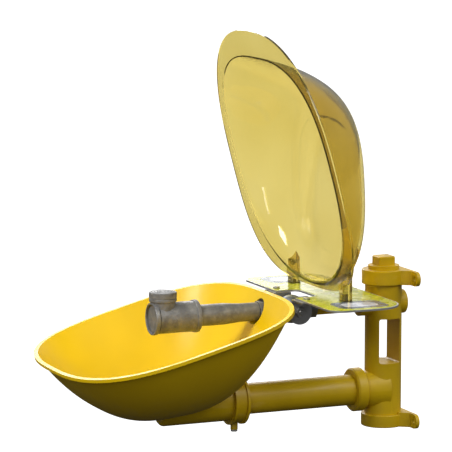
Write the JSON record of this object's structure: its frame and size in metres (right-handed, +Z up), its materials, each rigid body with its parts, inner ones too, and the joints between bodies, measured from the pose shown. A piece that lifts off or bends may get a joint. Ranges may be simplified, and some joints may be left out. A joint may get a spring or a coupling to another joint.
{
  "type": "eyewash station",
  "caption": "Wall-mounted eyewash station: pitched plastic bowl, spray head, drain line and a clear hinged cover whose turn works the ball valve.",
  "frame": {"origin": "centre of the four wall bolts, in the wall's plane", "axes": "+Y into the wall, -Y towards the user, +Z up, +X to the user's right"},
  "size_m": [0.354, 0.5164, 0.5517],
  "materials": {
    "yellow_paint": "baked yellow powder coat",
    "bowl_plastic": "satin moulded plastic",
    "black_rubber": "matt",
    "white_seat": "matt",
    "stainless": "satin",
    "galvanised": "galvanised, mottled",
    "valve_metal": "dull plated",
    "head_metal": "galvanised, mottled",
    "plate_metal": "satin",
    "label": "printed film",
    "clear_yellow": "clear tinted plastic"
  },
  "bodies": {
    "station": {"wall_post": "yellow_paint", "top_plug": "yellow_paint", "drain_union_nut": "yellow_paint", "drain_union_washer": "black_rubber", "drain_pipe": "yellow_paint", "drain_coupling": "yellow_paint", "coupling_gasket": "black_rubber", "clamp_screw": "stainless", "drain_receiver": "yellow_paint", "receiver_gasket": "black_rubber", "bowl": "bowl_plastic", "bowl_strainer": "stainless", "strainer_screw": "stainless", "supply_pipe": "yellow_paint", "valve_adapter": "valve_metal", "valve_body": "valve_metal", "valve_seats": "white_seat", "stem_packing": "white_seat", "packing_nut": "valve_metal", "pivot_pin": "stainless", "pivot_spacer": "stainless", "pivot_nut": "stainless", "outlet_nipple": "galvanised", "wall_gaskets": "black_rubber", "outer_lock_nut": "galvanised", "inner_lock_nut": "galvanised", "head_pipe": "galvanised", "head_tee": "galvanised", "tee_plug": "galvanised", "spray_body": "head_metal", "flow_regulator": "head_metal", "spray_screen": "stainless", "spray_plate": "head_metal"},
    "cover": {"cover_shell": "clear_yellow", "sign_plate": "plate_metal", "sign_label": "label", "near_arm": "stainless", "far_arm": "stainless", "arm_screws": "stainless", "arm_nuts": "stainless", "cover_feet": "clear_yellow", "foot_screws": "stainless", "valve_stem": "stainless", "valve_ball": "stainless", "stem_nut": "stainless"}
  },
  "joints": [
    {"name": "cover_hinge", "type": "hinge", "parent": "station", "child": "cover", "pos_m": [0, -0.169, 0.062], "axis": [1, 0, 0], "range_deg": [0, 90]}
  ]
}
